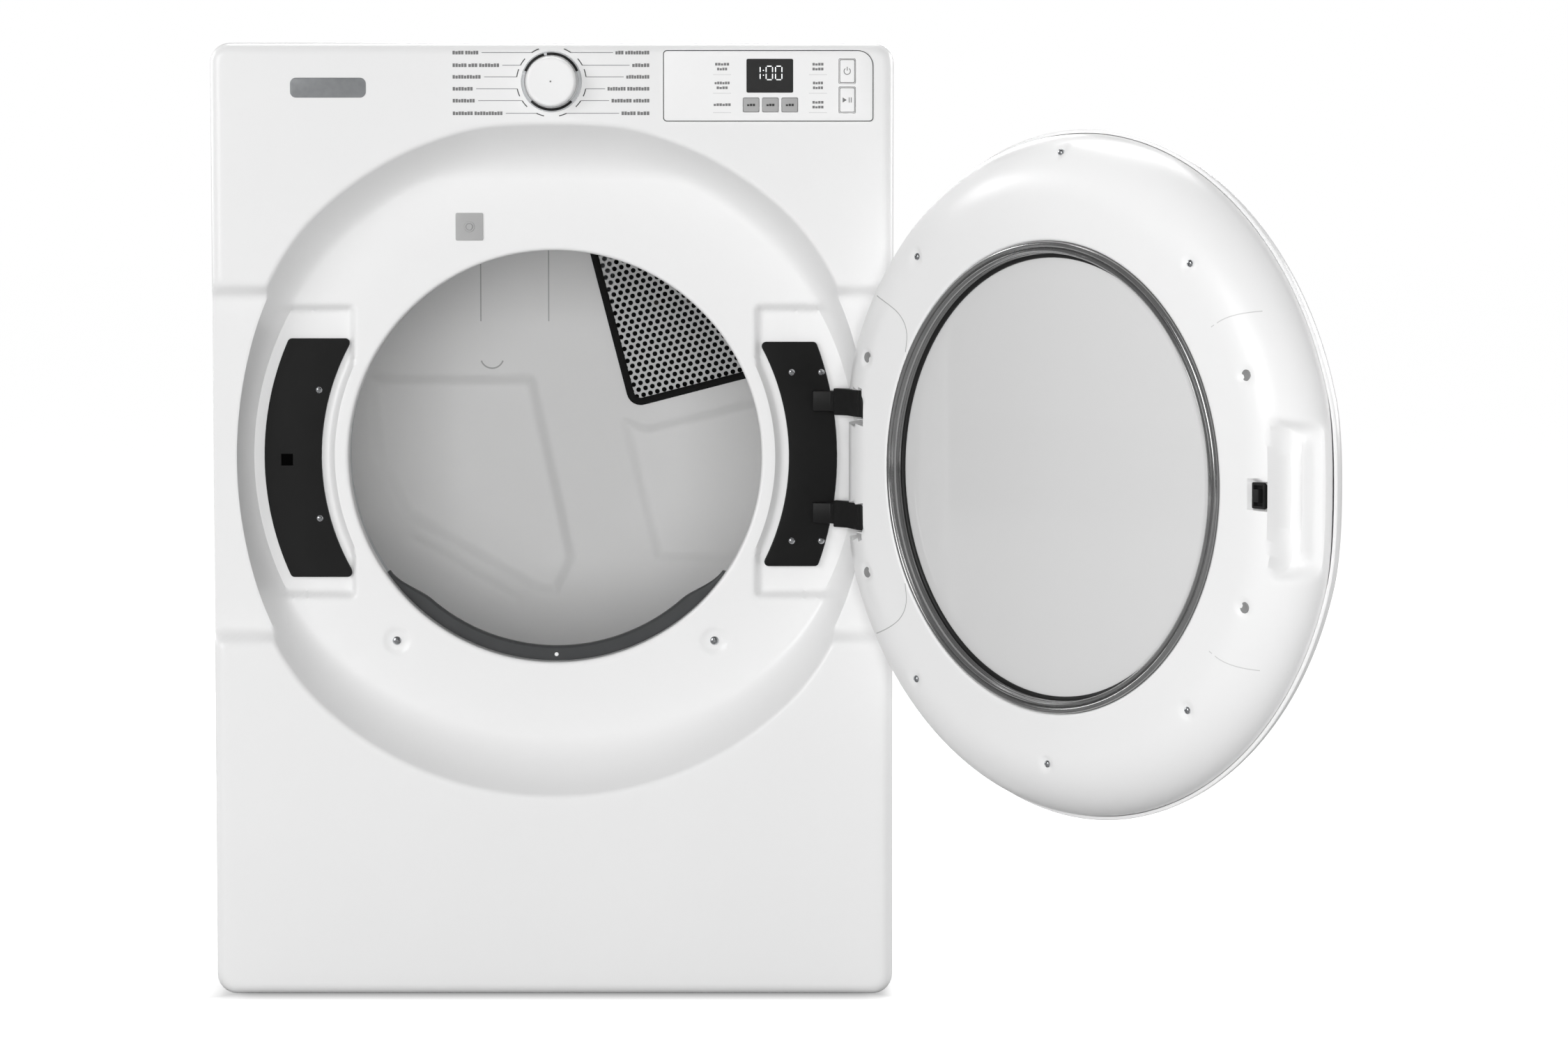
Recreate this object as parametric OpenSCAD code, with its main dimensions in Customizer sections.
// Front-loading clothes dryer, side-hung round door, standing on four levelling feet.
// X runs to the right, the front faces -Y, Z is up. The origin is on the floor,
// under the centre of the cabinet's footprint.

/* [Cabinet] */
// Width of the cabinet
cab_w = 686; // [670:1:700]
// Depth from the front skin to the rear skin
cab_d = 740; // [720:5:780]
// Height of the cabinet without its feet
cab_h = 963; // [955:1:985]
// Gap under the cabinet with the feet screwed in
foot_gap = 6; // [6:1:12]
// Rounding of the cabinet's long edges
cab_round = 20; // [16:1:26]
// Thickness of the sheet steel
sheet = 1.5; // [1:0.25:2]
// Height of the drum axis above the cabinet's bottom
axis_h = 544; // [540:1:550]

/* [Door opening] */
// Radius of the loading opening
mouth_r = 210; // [200:1:215]
// Depth of the recess that the door closes into
recess_d = 52; // [48:1:56]
// Radius of the recess at the front skin
lip_r = 342; // [338:1:345]
// Half width of the recess at mid height
lip_half_w = 321.7; // [320:0.1:324]
// Radius of the recess floor
floor_r = 315; // [312:1:318]
// Depth of the pockets that hold the latch cover and the hinge plate
pocket_d = 10; // [8:1:12]

/* [Door] */
// Angle that the door stands open
open_angle = 131.3; // [110:0.1:135]
// Distance of the hinge axis from the cabinet's centre plane
hinge_x = 314; // [312:1:315]
// Distance of the hinge axis in front of the front skin
hinge_out = 2; // [1:1:4]
// Radius of the door's rim
door_r = 332; // [328:1:334]
// Thickness of the outer shell in front of the front skin
shell_t = 28; // [24:1:32]
// Radius of the seal ring around the window
window_r = 225; // [220:1:228]

/* [Drum] */
// Outer radius of the drum
drum_r = 320; // [316:1:322]
// Thickness of the drum's wall
drum_t = 2; // [1.5:0.5:3]
// Height of the baffles inside the drum
baffle_h = 46; // [40:1:60]
// Number of baffles
baffles = 3; // [2:1:4]

/* [Console] */
// Radius of the programme knob
knob_r = 26; // [24:1:28]
// Radius of the ring around the knob
ring_r = 32; // [30:1:34]
// Travel of the keys
key_travel = 1; // [0.8:0.1:1.2]

/* [Hidden] */
$fn = 96;
flat_r = 470;
lip_top = 338.5;
floor_top = 291;
dish_t = 3;
scallop_d = 14;
scallop_half = 181;
half_w = cab_w / 2;
y_front = -cab_d / 2;
y_rear = cab_d / 2;
z_bot = foot_gap;
z_top = foot_gap + cab_h;
z_axis = foot_gap + axis_h;
y_floor = y_front + recess_d;
y_pocket = y_floor + pocket_d;
y_hinge = y_front - hinge_out;
y_plateau = y_floor - 4;
y_part = y_hinge;
wrap_d = 28;
panel_t = 4;
y_wrap = y_front + wrap_d;
// bulkheads and the drum between them
y_bulk = y_front + 73;
collar_r = mouth_r + 3;
y_collar = y_bulk + 49;
y_drum_front = y_bulk + 35;
y_back_plate = y_front + 638;
y_back_wall = y_back_plate - 18;
back_r = 306;
drum_lip_r = mouth_r + 22;
y_drum_rear = y_back_plate - 5;
// drive train
motor_x = -190;
motor_z = 120;
motor_r = 62;
pulley_r = 14;
belt_w = 8;
belt_t = 3;
idler_r = 30;
roller_r = 38;
roller_a = 35;
roller_gap = 0.4;
roller_x = (drum_r + roller_r + roller_gap) * sin(roller_a);
roller_z = z_axis - (drum_r + roller_r + roller_gap) * cos(roller_a);
roller_y = y_back_plate - 34;
shaft_r = 6;
run_fit = 0.05;
blower_r = 104;
y_blower = y_bulk + 26;
blower_d = 82;
// air path
duct_x = 0;
duct_z = 80;
duct_r = 48;
collar_out_r = 50.5;
collar_out = 30;
filter_half = 130;
y_filter = y_bulk + 7;
// console places, all on the front skin
knob_z = z_bot + 924;
fascia = [111.4, 889.7, 323, 961.9];
display = [195.5, 919.1, 242.1, 952.7];
key_x = [192, 211.4, 230.8];
key_w = 16;
key_z = [899.7, 913.8];
power_box = [288, 928.2, 304.6, 952.7];
start_box = [288, 898.7, 304.6, 924.7];
fascia_t = 1;
key_gap = 0.35;
// door hardware
arm_z = 57;
arm_h = 27;
barrel_r = 7;
pin_r = 3;
lug_h = 6;
door_holes = [185.5, 207.8];
plug_holes = [257.3, 106.8];
cover_x = 190;
cover_z = 160;
room_x = 268;
strike_at = [-273, -3];
feet = [[-290, -300], [290, -300], [-290, 320], [290, 320]];

// ---------- shared shapes ----------

// A flat outline, drawn in X and Z, given thickness from y0 to y1
module along_y(y0, y1) rotate([90, 0, 0]) translate([0, 0, -y1]) linear_extrude(y1 - y0) children();
// A round bar along Y
module rod_y(r, y0, y1, at = [0, 0])
    translate([at.x, y1, at.y]) rotate([90, 0, 0]) cylinder(r = r, h = y1 - y0);
// A round tube along Y
module tube_y(r_out, r_in, y0, y1, at = [0, 0]) difference() {
    rod_y(r_out, y0, y1, at);
    rod_y(r_in, y0 - 1, y1 + 1, at);
}
// A block between two corners
module block(low, high) translate(low) cube(high - low);
// A shape turned about the drum axis from points [radius, y]
module turned(points) translate([0, 0, z_axis]) rotate([90, 0, 0]) rotate_extrude($fn = 180)
    polygon([for (p = points) [p.x, -p.y]]);
// A rectangle with round corners, between two corners
module round_rect(low, high, r) translate(low) {
    w = high.x - low.x;
    h = high.y - low.y;
    difference() {
        square([w, h]);
        for (i = [0, 1], j = [0, 1]) translate([i * w, j * h]) mirror([i, 0]) mirror([0, j])
            difference() {
                translate([-1, -1]) square(r + 1);
                translate([r, r]) circle(r = r, $fn = 64);
            }
    }
}
module cabinet_outline(inset = 0)
    round_rect([-half_w + inset, z_bot + inset], [half_w - inset, z_top - inset], cab_round - inset);
// The recess outline at the front skin: a circle with flattened sides and top
module lip_outline(grow = 0) translate([0, z_axis]) intersection() {
    circle(r = lip_r + grow, $fn = 180);
    translate([flat_r - lip_half_w, 0]) circle(r = flat_r + grow, $fn = 180);
    translate([lip_half_w - flat_r, 0]) circle(r = flat_r + grow, $fn = 180);
    translate([-400, -400]) square([800, 400 + lip_top + grow]);
}
// The recess outline at its floor
module floor_outline(grow = 0) translate([0, z_axis]) intersection() {
    circle(r = floor_r + grow, $fn = 180);
    translate([0, 65]) circle(r = 356 + grow, $fn = 180);
    translate([-400, -400]) square([800, 400 + floor_top + grow]);
}
// The pocket on one side of the opening: side is -1 or 1
module pocket_outline(side, grow = 0) translate([0, z_axis]) intersection() {
    difference() {
        translate([side > 0 ? 205 - grow : -312, -140 - grow]) square([107 + grow, 291 + 2 * grow]);
        circle(r = 227 - grow, $fn = 120);
    }
    circle(r = 311 + grow, $fn = 180);
}
module door_pose() translate([hinge_x, y_hinge, 0]) rotate([0, 0, open_angle])
    translate([-hinge_x, -y_hinge, 0]) children();

// ---------- cabinet ----------

// One formed front with the door recess, its pockets and the finger scallops beside the door
module front_panel() color("white") difference() {
    union() {
        difference() {
            along_y(y_front, y_wrap) cabinet_outline();
            along_y(y_front + panel_t, y_wrap + 1) cabinet_outline(2);
        }
        intersection() {
            recess_shape(dish_t);
            block([-half_w + 3, y_front + 1, 0], [half_w - 3, 0, z_top - 3]);
        }
        for (side = [-1, 1]) {
            along_y(y_floor, y_pocket + dish_t) pocket_outline(side, dish_t);
            scallop(side, panel_t);
        }
        rod_y(mouth_r + dish_t, y_floor + 1, y_bulk, [0, z_axis]);
    }
    recess_shape(0);
    rod_y(mouth_r, y_front, y_bulk + 1, [0, z_axis]);
    for (side = [-1, 1]) {
        along_y(y_floor - 1, y_pocket) pocket_outline(side);
        scallop(side);
    }
    console_cuts();
    for (side = [-1, 1]) rod_y(2.2, y_floor - 5, y_bulk, [side * 162, z_axis - 188]);
    block([-97, y_floor - 5, z_axis + 223], [-75, y_bulk, z_axis + 245]);
}
// The recess: steep at the sides, a wide slope above and below
module recess_shape(grow) {
    along_y(y_front - 1, y_floor + grow) floor_outline(grow);
    intersection() {
        along_y(y_front - 1, y_floor + grow) lip_outline(grow);
        turned([[0, y_floor + grow], [292 + 1.4 * grow, y_floor + grow],
            [lip_r + 3 + 1.4 * grow, y_front - 1.5], [0, y_front - 1.5]]);
    }
}
// Finger room between the recess and the cabinet's edge; with grow, the wall behind it
module scallop(side, grow = 0) {
    far = grow > 0 ? half_w - 0.5 : half_w + 60;
    near = 300;
    intersection() {
        along_y(y_front + (grow > 0 ? 2 : -5), y_front + scallop_d + grow) translate([side * (half_w + 4), z_axis - 5])
            intersection() {
                square([120, 2 * scallop_half + 2 * grow], center = true);
                circle(r = scallop_half + grow, $fn = 120);
            }
        block([side > 0 ? near : -far, y_front - 6, 0], [side > 0 ? far : -near, 0, z_top]);
    }
}
module console_cuts() {
    rod_y(3.6, y_front - 1, y_front + 20, [0, knob_z]);
    for (x = key_x) key_hole([x, key_z[0], x + key_w, key_z[1]]);
    key_hole(power_box);
    key_hole(start_box);
    along_y(y_front - 1, y_front + 20) round_rect([display[0], display[1]], [display[2], display[3]], 1.5);
}
module key_hole(b) along_y(y_front - 2, y_front + 20)
    round_rect([b[0] - key_gap, b[1] - key_gap], [b[2] + key_gap, b[3] + key_gap], 2);
module shell_ring() along_y(y_wrap + 0.2, y_rear) difference() {
    cabinet_outline();
    cabinet_outline(sheet);
}
module side_panel(side) color("white") intersection() {
    shell_ring();
    block([side > 0 ? 318 : -400, y_front, 0], [side > 0 ? 400 : -318, y_rear + 1, z_top - 24]);
}
module top_panel() color("white") intersection() {
    shell_ring();
    block([-400, y_front, z_top - 23.8], [400, y_rear + 1, z_top + 1]);
}
module rear_panel() color("gainsboro") difference() {
    along_y(y_rear - 4, y_rear - 2.5) cabinet_outline(sheet + 0.2);
    rod_y(duct_r + 2, y_rear - 9, y_rear, [duct_x, duct_z]);
    for (i = [0:8]) block([-260 + i * 26, y_rear - 9, 300], [-250 + i * 26, y_rear, 380]);
    for (i = [0:8]) block([-260 + i * 26, y_rear - 9, 620], [-250 + i * 26, y_rear, 700]);
    block([200, y_rear - 9, 132], [270, y_rear, 190]);
}
module base_pan() color("silver") difference() {
    block([-316, y_wrap + 4, z_bot + 1.7], [316, y_rear - 5, z_bot + 34]);
    block([-314, y_wrap + 6, z_bot + 3.7], [314, y_rear - 7, z_bot + 40]);
    block([duct_x - 60, y_rear - 20, z_bot + 18], [duct_x + 60, y_rear, z_bot + 40]);
    for (f = feet) translate([f.x, f.y, 0]) cylinder(r = 5 + run_fit, h = 40);
}
module foot(i) color("dimgray") translate([feet[i].x, feet[i].y, 0]) {
    cylinder(r1 = 17, r2 = 19, h = 3);
    translate([0, 0, 3]) cylinder(r = 19, h = 3.4);
    translate([0, 0, 6]) cylinder(r = 5, h = 40);
}
// Sheet behind the front panel that carries the opening's collar
module front_bulkhead() color("gainsboro") difference() {
    union() {
        along_y(y_bulk, y_bulk + 2) round_rect([-338, z_bot + 60], [338, z_top - 100], 12);
        tube_y(collar_r + 3, collar_r, y_bulk, y_collar, [0, z_axis]);
    }
    rod_y(collar_r, y_bulk - 1, y_collar + 1, [0, z_axis]);
    block([-filter_half - 4, y_bulk + 4, z_axis - 240], [filter_half + 4, y_bulk + 20, z_axis - 120]);
    for (side = [-1, 1]) rod_y(2, y_bulk - 1, y_bulk + 6, [side * 162, z_axis - 188]);
    for (side = [-1, 1], z = [-105, 105]) rod_y(2, y_bulk - 1, y_bulk + 6, [side * 255, z_axis + z]);
}
module front_felt_seal() color("tan") tube_y(drum_lip_r - 0.5, collar_r + 3, y_drum_front - 9,
    y_collar, [0, z_axis]);
// Low-friction pads under the drum's front rim
module front_glides() color("ivory") for (side = [-1, 1]) translate([0, 0, z_axis]) rotate([0, side * 50, 0])
    translate([0, 0, -z_axis]) difference() {
        block([-26, y_bulk + 2, z_axis - drum_r - 16], [26, y_drum_front + 24, z_axis - drum_r + 6]);
        rod_y(drum_r + 0.4, y_drum_front - 2, y_drum_front + 30, [0, z_axis]);
    }
module rear_bulkhead() color("lightgray") difference() {
    union() {
        along_y(y_back_plate, y_back_plate + 2) round_rect([-338, z_bot + 145], [338, z_top - 60], 12);
        rod_y(back_r, y_back_wall, y_back_plate + 2, [0, z_axis]);
    }
    rod_y(back_r - 2, y_back_wall + 2, y_back_plate + 3, [0, z_axis]);
    along_y(y_back_wall - 1, y_back_plate + 3) grille_outline(8);
    for (side = [-1, 1]) rod_y(shaft_r, y_back_plate - 1, y_back_plate + 3, [side * roller_x, roller_z]);
    rod_y(3.2, y_back_plate - 1, y_back_plate + 3, [0, z_top - 80]);
}
// The air inlet: a rectangle turned with the drum's sweep, cut by the drum's circle
module grille_outline(inset) translate([0, z_axis]) intersection() {
    translate([60, 20]) rotate(14.5) round_rect([inset, inset], [190 - inset, 200 - inset], 16 - inset);
    circle(r = 292 - inset, $fn = 120);
}
module grille_frame() color("black") along_y(y_back_wall - 4, y_back_wall) difference() {
    grille_outline(0);
    grille_outline(8.2);
}
module grille_screen() color("darkgray") difference() {
    along_y(y_back_wall - 1.5, y_back_wall - 0.5) grille_outline(8.4);
    translate([0, 0, z_axis]) rotate([0, -14.5, 0]) translate([60, 0, 5])
        for (i = [0:8]) block([24 + i * 18, y_back_wall - 3, 24], [33 + i * 18, y_back_wall + 2, 150]);
}
module heater_box() color("silver") difference() {
    block([40, y_back_plate + 2, z_axis - 20], [300, y_rear - 12, z_axis + 250]);
    block([42, y_back_plate + 1, z_axis - 18], [298, y_rear - 14, z_axis + 248]);
}
module heater_coils() color("dimgray") for (i = [0:5])
    rod_y(5, y_back_plate + 12, y_rear - 22, [90 + i * 34, z_axis + 140]);
module rear_felt_seal() color("tan") tube_y(drum_r - drum_t - 0.5, back_r, y_back_wall + 2, y_back_plate, [0, z_axis]);
// Electric terminal cover with the hole for a supply lead's strain relief
module terminal_cover() color("gainsboro") difference() {
    block([190, y_rear - 2.5, 122], [280, y_rear + 14, 200]);
    block([192, y_rear - 4, 124], [278, y_rear + 12.5, 198]);
    rod_y(14, y_rear, y_rear + 20, [235, 160]);
}
module cabinet_screws() color("silver") {
    for (side = [-1, 1]) rod_y(4, y_floor - 2.5, y_floor + 2, [side * 162, z_axis - 188]);
    for (x = [-300, -100, 100, 300], z = [60, 900]) rod_y(4, y_rear - 3, y_rear, [x, z]);
    for (z = [68, -63]) rod_y(4, y_pocket - 8, y_pocket - 4, [-240, z_axis + z]);
    for (x = [241, 271], z = [-86, 86]) rod_y(4, y_pocket - 8, y_pocket - 4, [x, z_axis + z]);
}

// ---------- drum and drive ----------

module drum() color("whitesmoke") difference() {
    turned([[drum_lip_r, y_drum_front], [drum_r, y_drum_front], [drum_r, y_drum_rear],
        [drum_r - drum_t, y_drum_rear], [drum_r - drum_t, y_drum_front + drum_t], [drum_lip_r, y_drum_front + drum_t]]);
}
module drum_baffles() color("whitesmoke") translate([0, 0, z_axis]) for (i = [0 : baffles - 1])
    rotate([0, i * 360 / baffles + 45, 0]) intersection() {
        along_y(y_drum_front + 6, y_drum_rear - 40)
            polygon([[drum_r - baffle_h, -8], [drum_r - baffle_h, 8], [drum_r - 4, 34], [drum_r - 4, -34]]);
        rod_y(drum_r - drum_t, y_drum_front, y_drum_rear);
    }
module roller(side) color("dimgray") tube_y(roller_r, shaft_r + run_fit, roller_y, roller_y + 24,
    [side * roller_x, roller_z]);
module roller_shafts() color("silver") for (side = [-1, 1])
    rod_y(shaft_r, roller_y - 4, y_back_plate + 8, [side * roller_x, roller_z]);
// The belt runs round the drum and the motor pulley
module drive_belt() color("black") along_y(-belt_w / 2, belt_w / 2) difference() {
    hull() {
        translate([0, z_axis]) circle(r = drum_r + 0.3 + belt_t, $fn = 144);
        translate([motor_x, motor_z]) circle(r = pulley_r + 0.3 + belt_t, $fn = 48);
    }
    hull() {
        translate([0, z_axis]) circle(r = drum_r + 0.3, $fn = 144);
        translate([motor_x, motor_z]) circle(r = pulley_r + 0.3, $fn = 48);
    }
}
module motor() color("silver") difference() {
    union() {
        rod_y(motor_r, -170, -30, [motor_x, motor_z]);
        block([motor_x - 50, -150, z_bot + 3.7], [motor_x + 50, -50, motor_z - 20]);
    }
    rod_y(shaft_r + run_fit, -180, -20, [motor_x, motor_z]);
}
module motor_shaft() color("lightgray") {
    rod_y(shaft_r, y_blower + 12, 14, [motor_x, motor_z]);
    tube_y(pulley_r, shaft_r - 1, -8, 8, [motor_x, motor_z]);
}
module blower_wheel() color("whitesmoke") difference() {
    rod_y(88, y_blower + 12, y_blower + 66, [motor_x, motor_z]);
    rod_y(60, y_blower + 11, y_blower + 60, [motor_x, motor_z]);
    rod_y(shaft_r, y_blower, y_blower + 70, [motor_x, motor_z]);
    for (i = [0:15]) translate([motor_x, 0, motor_z]) rotate([0, i * 22.5, 0])
        block([62, y_blower + 16, -6], [90, y_blower + 56, 6]);
}
module blower_housing() color("ivory") difference() {
    union() {
        rod_y(blower_r, y_blower, y_blower + blower_d, [motor_x, motor_z]);
        block([motor_x, y_blower, 20], [58, y_blower + blower_d, 140]);
    }
    rod_y(blower_r - 2, y_blower + 2, y_blower + blower_d - 2, [motor_x, motor_z]);
    block([motor_x + 10, y_blower + 2, 22], [56, y_blower + blower_d - 2, 138]);
    rod_y(55, y_blower - 1, y_blower + 4, [motor_x, motor_z]);
    rod_y(9, y_blower + 50, y_blower + blower_d + 1, [motor_x, motor_z]);
    rod_y(duct_r - 1.5, y_blower + 50, y_blower + blower_d + 1, [duct_x, duct_z]);
}
module lint_duct() color("ivory") difference() {
    along_y(y_bulk + 2, y_bulk + 25.6) polygon([[-142, 334], [142, 334], [142, 206],
        [-60, 58], [-254, 58], [-254, 170], [-142, 234]]);
    along_y(y_bulk + 4, y_bulk + 23) polygon([[-140, 340], [140, 340], [140, 207],
        [-61, 60], [-252, 60], [-252, 169], [-140, 233]]);
    rod_y(55, y_bulk + 20, y_bulk + 30, [motor_x, motor_z]);
    rod_y(collar_r + 3.3, y_bulk + 1, y_bulk + 30, [0, z_axis]);
}
// The curved grip shows at the bottom of the opening, the screen hangs in the duct below it
module lint_filter() color("dimgray") {
    intersection() {
        turned([[199, y_bulk + 1], [212.4, y_bulk + 1], [212.4, y_bulk + 24], [203, y_bulk + 24]]);
        along_y(y_bulk, y_bulk + 30) translate([0, z_axis])
            polygon([[0, 0], [-260, -180], [-260, -260], [260, -260], [260, -180]]);
    }
    difference() {
        block([-filter_half, y_filter, z_axis - 330], [filter_half, y_filter + 10, z_axis - 150]);
        rod_y(208, y_bulk, y_bulk + 30, [0, z_axis]);
        block([-filter_half + 12, y_filter + 2, z_axis - 318], [filter_half - 12, y_filter + 8, z_axis - 222]);
        for (i = [0:9]) block([-114 + i * 24, y_filter - 1, z_axis - 314], [-102 + i * 24, y_filter + 11, z_axis - 226]);
    }
}
module exhaust_duct() color("silver") difference() {
    union() {
        rod_y(duct_r, y_blower + blower_d, y_rear + 2, [duct_x, duct_z]);
        rod_y(collar_out_r, y_rear + 1, y_rear + 1 + collar_out, [duct_x, duct_z]);
    }
    rod_y(duct_r - 1.5, y_blower, y_rear + 60, [duct_x, duct_z]);
}
// The idler swings on its pivot and presses the belt's slack run
idler_at = [-95.2, 112.2];
idler_pivot = [-110, 50];
module idler_arm() color("silver") difference() {
    union() {
        along_y(18, 22) hull() {
            translate(idler_at) circle(r = 9, $fn = 32);
            translate(idler_pivot) circle(r = 12, $fn = 32);
        }
        rod_y(5, -11, 20, idler_at);
    }
    rod_y(6 + run_fit, 10, 30, idler_pivot);
}
module idler_pulley() color("ivory") tube_y(idler_r, 5 + run_fit, -10, 10, idler_at);

// ---------- console ----------

module control_fascia() color("whitesmoke") difference() {
    along_y(y_front - fascia_t, y_front) round_rect([fascia[0], fascia[1]], [fascia[2], fascia[3]], 6);
    for (x = key_x) key_hole([x, key_z[0], x + key_w, key_z[1]]);
    key_hole(power_box);
    key_hole(start_box);
    along_y(y_front - 2, y_front + 1) round_rect([display[0], display[1]], [display[2], display[3]], 1.5);
}
module display_window() color("#3c3c3c") along_y(y_front - fascia_t, y_front + 6)
    round_rect([display[0] + 0.2, display[1] + 0.2], [display[2] - 0.2, display[3] - 0.2], 1.3);
module key(b, tone) color(tone) {
    along_y(y_front - fascia_t - 0.8, y_front + 5) round_rect([b[0], b[1]], [b[2], b[3]], 1.6);
}
module option_key(i) key([key_x[i], key_z[0], key_x[i] + key_w, key_z[1]], "darkgray");
module knob_ring() color("silver") tube_y(ring_r, knob_r + 1, y_front - 3, y_front, [0, knob_z]);
module control_knob() color("white") {
    translate([0, y_front - 0.5, knob_z]) rotate([90, 0, 0]) rotate_extrude()
        polygon([[0, 0], [knob_r - 0.6, 0], [knob_r, 1], [knob_r - 1.4, 20], [knob_r - 3.4, 22], [0, 22]]);
    rod_y(3.5, y_front - 2, y_front + 14, [0, knob_z]);
}

// ---------- fittings in the recess ----------

module latch_cover() color("#262626") difference() {
    along_y(y_pocket - 6, y_pocket) translate([0, z_axis]) intersection() {
        difference() {
            circle(r = 296, $fn = 180);
            circle(r = 238, $fn = 180);
        }
        translate([-300, -123]) square([93.5, 243.5]);
    }
    along_y(y_pocket - 7, y_pocket + 1) translate([strike_at.x - 6, z_axis + strike_at.y - 6]) square(12);
    for (z = [68, -63]) rod_y(4, y_pocket - 7, y_pocket - 4, [-240, z_axis + z]);
}
// Hinge plate with its two arms, one black casting
module hinge_plate() color("#262626") difference() {
    union() {
        along_y(y_pocket - 6, y_pocket) translate([0, z_axis]) intersection() {
            difference() {
                translate([200, -112]) square([87, 229]);
                circle(r = 238, $fn = 180);
            }
            translate([-330 + 287, 0]) circle(r = 330, $fn = 120);
        }
        for (s = [-1, 1]) translate([0, 0, z_axis + s * arm_z - arm_h / 2]) {
            linear_extrude(arm_h) polygon([[262, y_pocket - 5], [285, y_pocket - 5], [303, y_pocket - 26],
                [hinge_x + 4, y_hinge + 4], [hinge_x - 5, y_hinge - 2], [297, y_pocket - 32], [280, y_pocket - 14],
                [262, y_pocket - 12]]);
            translate([hinge_x, y_hinge, 0]) cylinder(r = barrel_r, h = arm_h);
        }
    }
    translate([hinge_x, y_hinge, z_axis - 100]) cylinder(r = pin_r + run_fit, h = 200);
    for (x = [241, 271], z = [-86, 86]) rod_y(4, y_pocket - 7, y_pocket - 4, [x, z_axis + z]);
}
module door_switch() color("darkgray") difference() {
    union() {
        along_y(y_floor - 1.5, y_floor) translate([-86, z_axis + 234]) square(28, center = true);
        along_y(y_floor, y_floor + 14) translate([-86, z_axis + 234]) square(20, center = true);
    }
    rod_y(3 + run_fit, y_floor - 5, y_floor + 10, [-86, z_axis + 234]);
}
module switch_plunger() color("white") rod_y(3, y_floor - 3.5, y_floor + 6, [-86, z_axis + 234]);

// ---------- door, drawn closed and then swung open ----------

// The inner panel's body: a raised face that slopes down to the rim
module inner_body() intersection() {
    turned([[window_r, y_plateau], [285, y_plateau], [door_r - 4, y_part], [door_r - 8, y_part],
        [283, y_plateau - 3], [window_r + 3, y_plateau - 3], [window_r + 3, y_part], [window_r, y_part]]);
    block([-318, y_part - 1, 0], [317, 0, z_top]);
}
module cover_zone(gap) block([cover_x - gap, y_part - 5, z_axis - cover_z - gap],
    [340, y_floor, z_axis + cover_z + gap]);
module hinge_room() for (s = [-1, 1]) {
    block([room_x, y_hinge + 8, z_axis + s * arm_z - arm_h / 2 - 1.5],
        [340, y_floor, z_axis + s * arm_z + arm_h / 2 + 1.5]);
    translate([hinge_x, y_hinge, z_axis + s * arm_z - arm_h / 2 - 9]) cylinder(r = 10, h = arm_h + 18);
}
module door_inner_panel() color("white") door_pose() difference() {
    inner_body();
    cover_zone(0.3);
    along_y(y_part - 1, y_floor) translate([-330, z_axis - 77]) square([35, 142]);
    along_y(y_part - 1, y_floor) translate([strike_at.x, z_axis + strike_at.y]) square([16, 24], center = true);
    for (s = [-1, 1], t = [-1, 1]) rod_y(2, y_part, y_floor, [s * door_holes.x, z_axis + t * door_holes.y]);
    for (t = [-1, 1]) rod_y(5, y_part, y_floor, [-plug_holes.x, z_axis + t * plug_holes.y]);
}
module door_hinge_cover() color("white") door_pose() difference() {
    intersection() {
        inner_body();
        cover_zone(0);
    }
    hinge_room();
}
module door_outer_shell() color("white") door_pose() difference() {
    intersection() {
        turned([[window_r + 8, y_part], [window_r + 8, y_part - shell_t], [door_r - 60, y_part - shell_t],
            [door_r - 30, y_part - shell_t + 5], [door_r - 10, y_part - shell_t + 14], [door_r, y_part],
            [door_r - 4, y_part], [door_r - 13, y_part - shell_t + 16], [door_r - 32, y_part - shell_t + 8],
            [door_r - 60, y_part - shell_t + 3], [window_r + 11, y_part - shell_t + 3], [window_r + 11, y_part]]);
        block([-326, y_part - 60, 0], [hinge_x + 4, 0, z_top]);
    }
    hinge_room();
}
module door_window() color([0.8, 0.82, 0.84, 0.4]) door_pose() rod_y(211, y_plateau - 15, y_plateau - 10, [0, z_axis]);
module door_outer_lens() color([0.7, 0.72, 0.74, 0.5]) door_pose()
    rod_y(window_r + 8, y_part - shell_t + 2, y_part - shell_t + 6, [0, z_axis]);
module window_bezel() color("silver") door_pose() tube_y(window_r, 214, y_plateau - 20, y_plateau + 3, [0, z_axis]);
module window_gasket() color("black") door_pose() turned([[207, y_plateau - 10], [207, y_plateau - 2],
    [214, y_plateau + 1], [214, y_plateau - 20], [211, y_plateau - 20], [211, y_plateau - 10]]);
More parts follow.
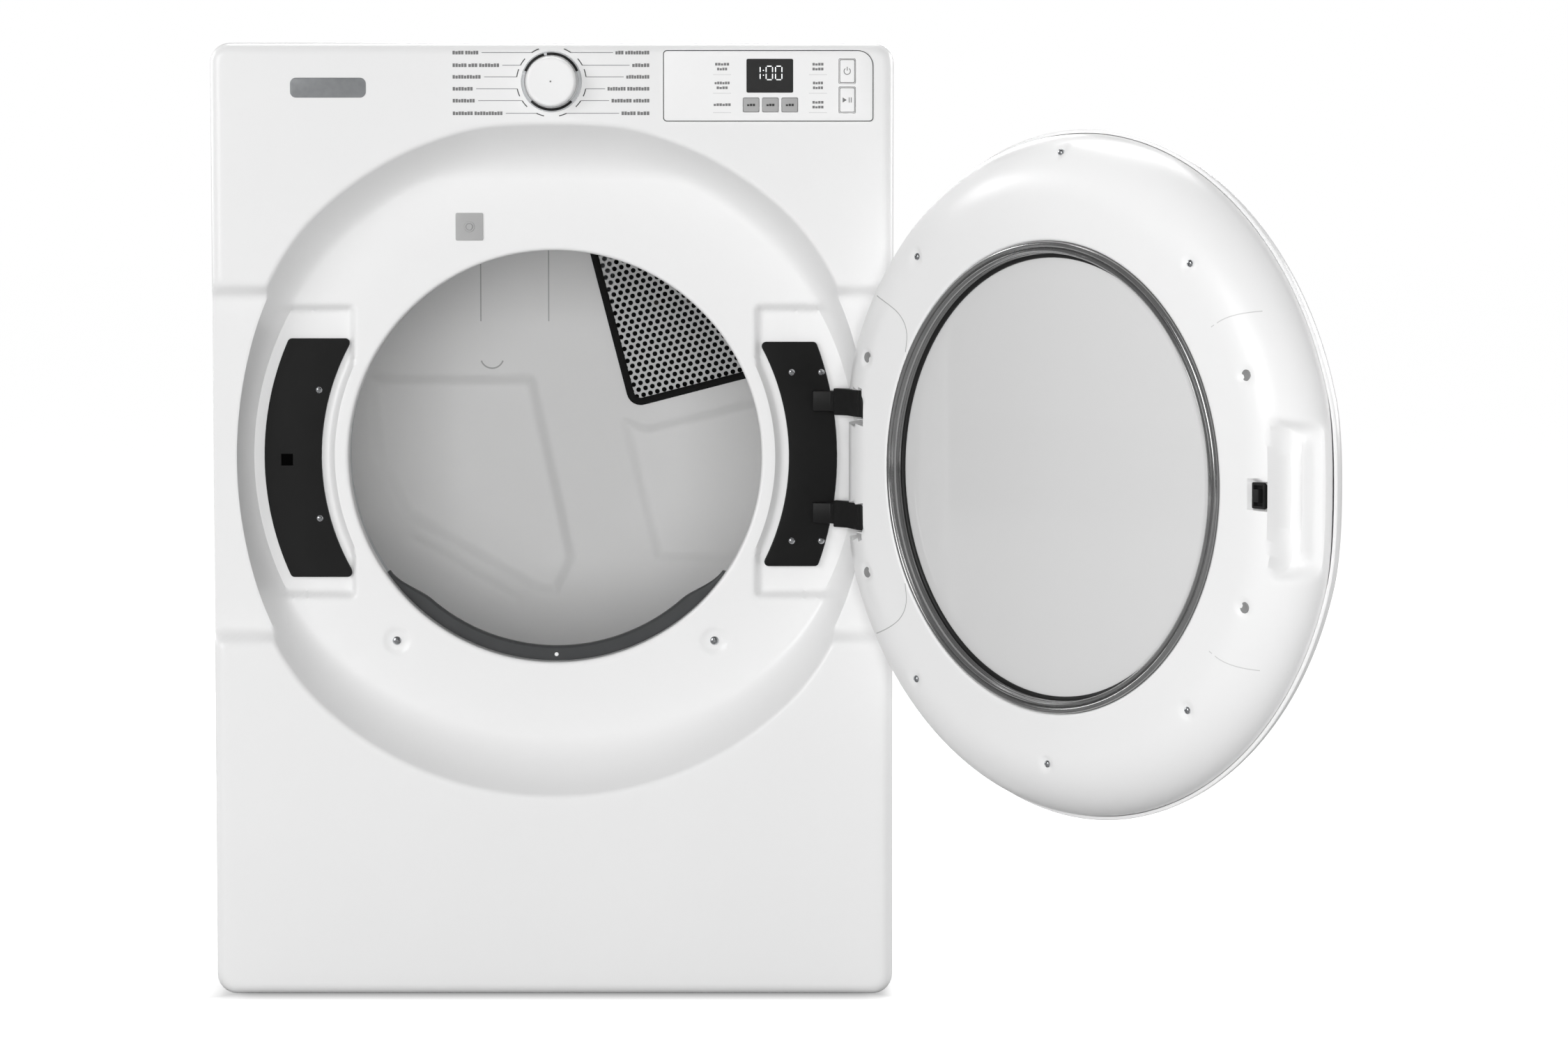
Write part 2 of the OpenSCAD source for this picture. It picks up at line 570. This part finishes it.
module door_hinge_leaf() color("silver") door_pose() difference() {
    union() {
        block([240, y_hinge - 6, z_axis - 84], [hinge_x - 40, y_hinge - 3, z_axis + 84]);
        for (s = [-1, 1], t = [-1, 1]) translate([0, 0, z_axis + s * arm_z + t * (arm_h / 2 + 1.5 + lug_h / 2)])
            translate([0, 0, -lug_h / 2]) {
                block([hinge_x - 44, y_hinge - 6, 0], [hinge_x - 2, y_hinge + 2, lug_h]);
                translate([hinge_x, y_hinge, 0]) cylinder(r = 8, h = lug_h);
            }
    }
    translate([hinge_x, y_hinge, z_axis - 120]) cylinder(r = pin_r, h = 240);
}
module hinge_pins() color("gray") door_pose() for (s = [-1, 1])
    translate([hinge_x, y_hinge, z_axis + s * arm_z - arm_h / 2 - 7.5]) cylinder(r = pin_r, h = arm_h + 15);
module door_strike() color("#262626") door_pose() difference() {
    along_y(y_plateau - 14, y_plateau + 12) translate([strike_at.x, z_axis + strike_at.y]) square([8, 8], center = true);
    along_y(y_plateau + 4, y_plateau + 8) translate([strike_at.x - 2, z_axis + strike_at.y]) square([8, 4], center = true);
}
module door_screws() color("silver") door_pose() {
    for (s = [-1, 1], t = [-1, 1]) rod_y(4, y_plateau - 3, y_plateau + 1.5, [s * door_holes.x, z_axis + t * door_holes.y]);
    rod_y(4, y_plateau - 3, y_plateau + 1.5, [0, z_axis - 275]);
    rod_y(4, y_plateau - 31, y_plateau - 25, [0, z_axis + 309]);
}

front_panel();
side_panel(-1);  // side_panel_left
side_panel(1);  // side_panel_right
top_panel();
rear_panel();
base_pan();
front_bulkhead();
rear_bulkhead();
grille_frame();
grille_screen();
terminal_cover();
cabinet_screws();
front_felt_seal();
rear_felt_seal();
front_glides();
roller_shafts();
drive_belt();
motor();
blower_housing();
lint_duct();
exhaust_duct();
heater_box();
heater_coils();
control_fascia();
display_window();
knob_ring();
hinge_plate();
latch_cover();
door_switch();
drum();
drum_baffles();
roller(-1);  // roller_left
roller(1);  // roller_right
motor_shaft();
blower_wheel();
idler_arm();
idler_pulley();
lint_filter();
control_knob();
option_key(0);  // option_key_1
option_key(1);  // option_key_2
option_key(2);  // option_key_3
key(power_box, "white");  // power_key
key(start_box, "white");  // start_key
switch_plunger();
door_inner_panel();
door_outer_shell();
door_hinge_cover();
door_window();
door_outer_lens();
window_bezel();
window_gasket();
door_hinge_leaf();
hinge_pins();
door_strike();
door_screws();
foot(0);  // foot_1
foot(1);  // foot_2
foot(2);  // foot_3
foot(3);  // foot_4
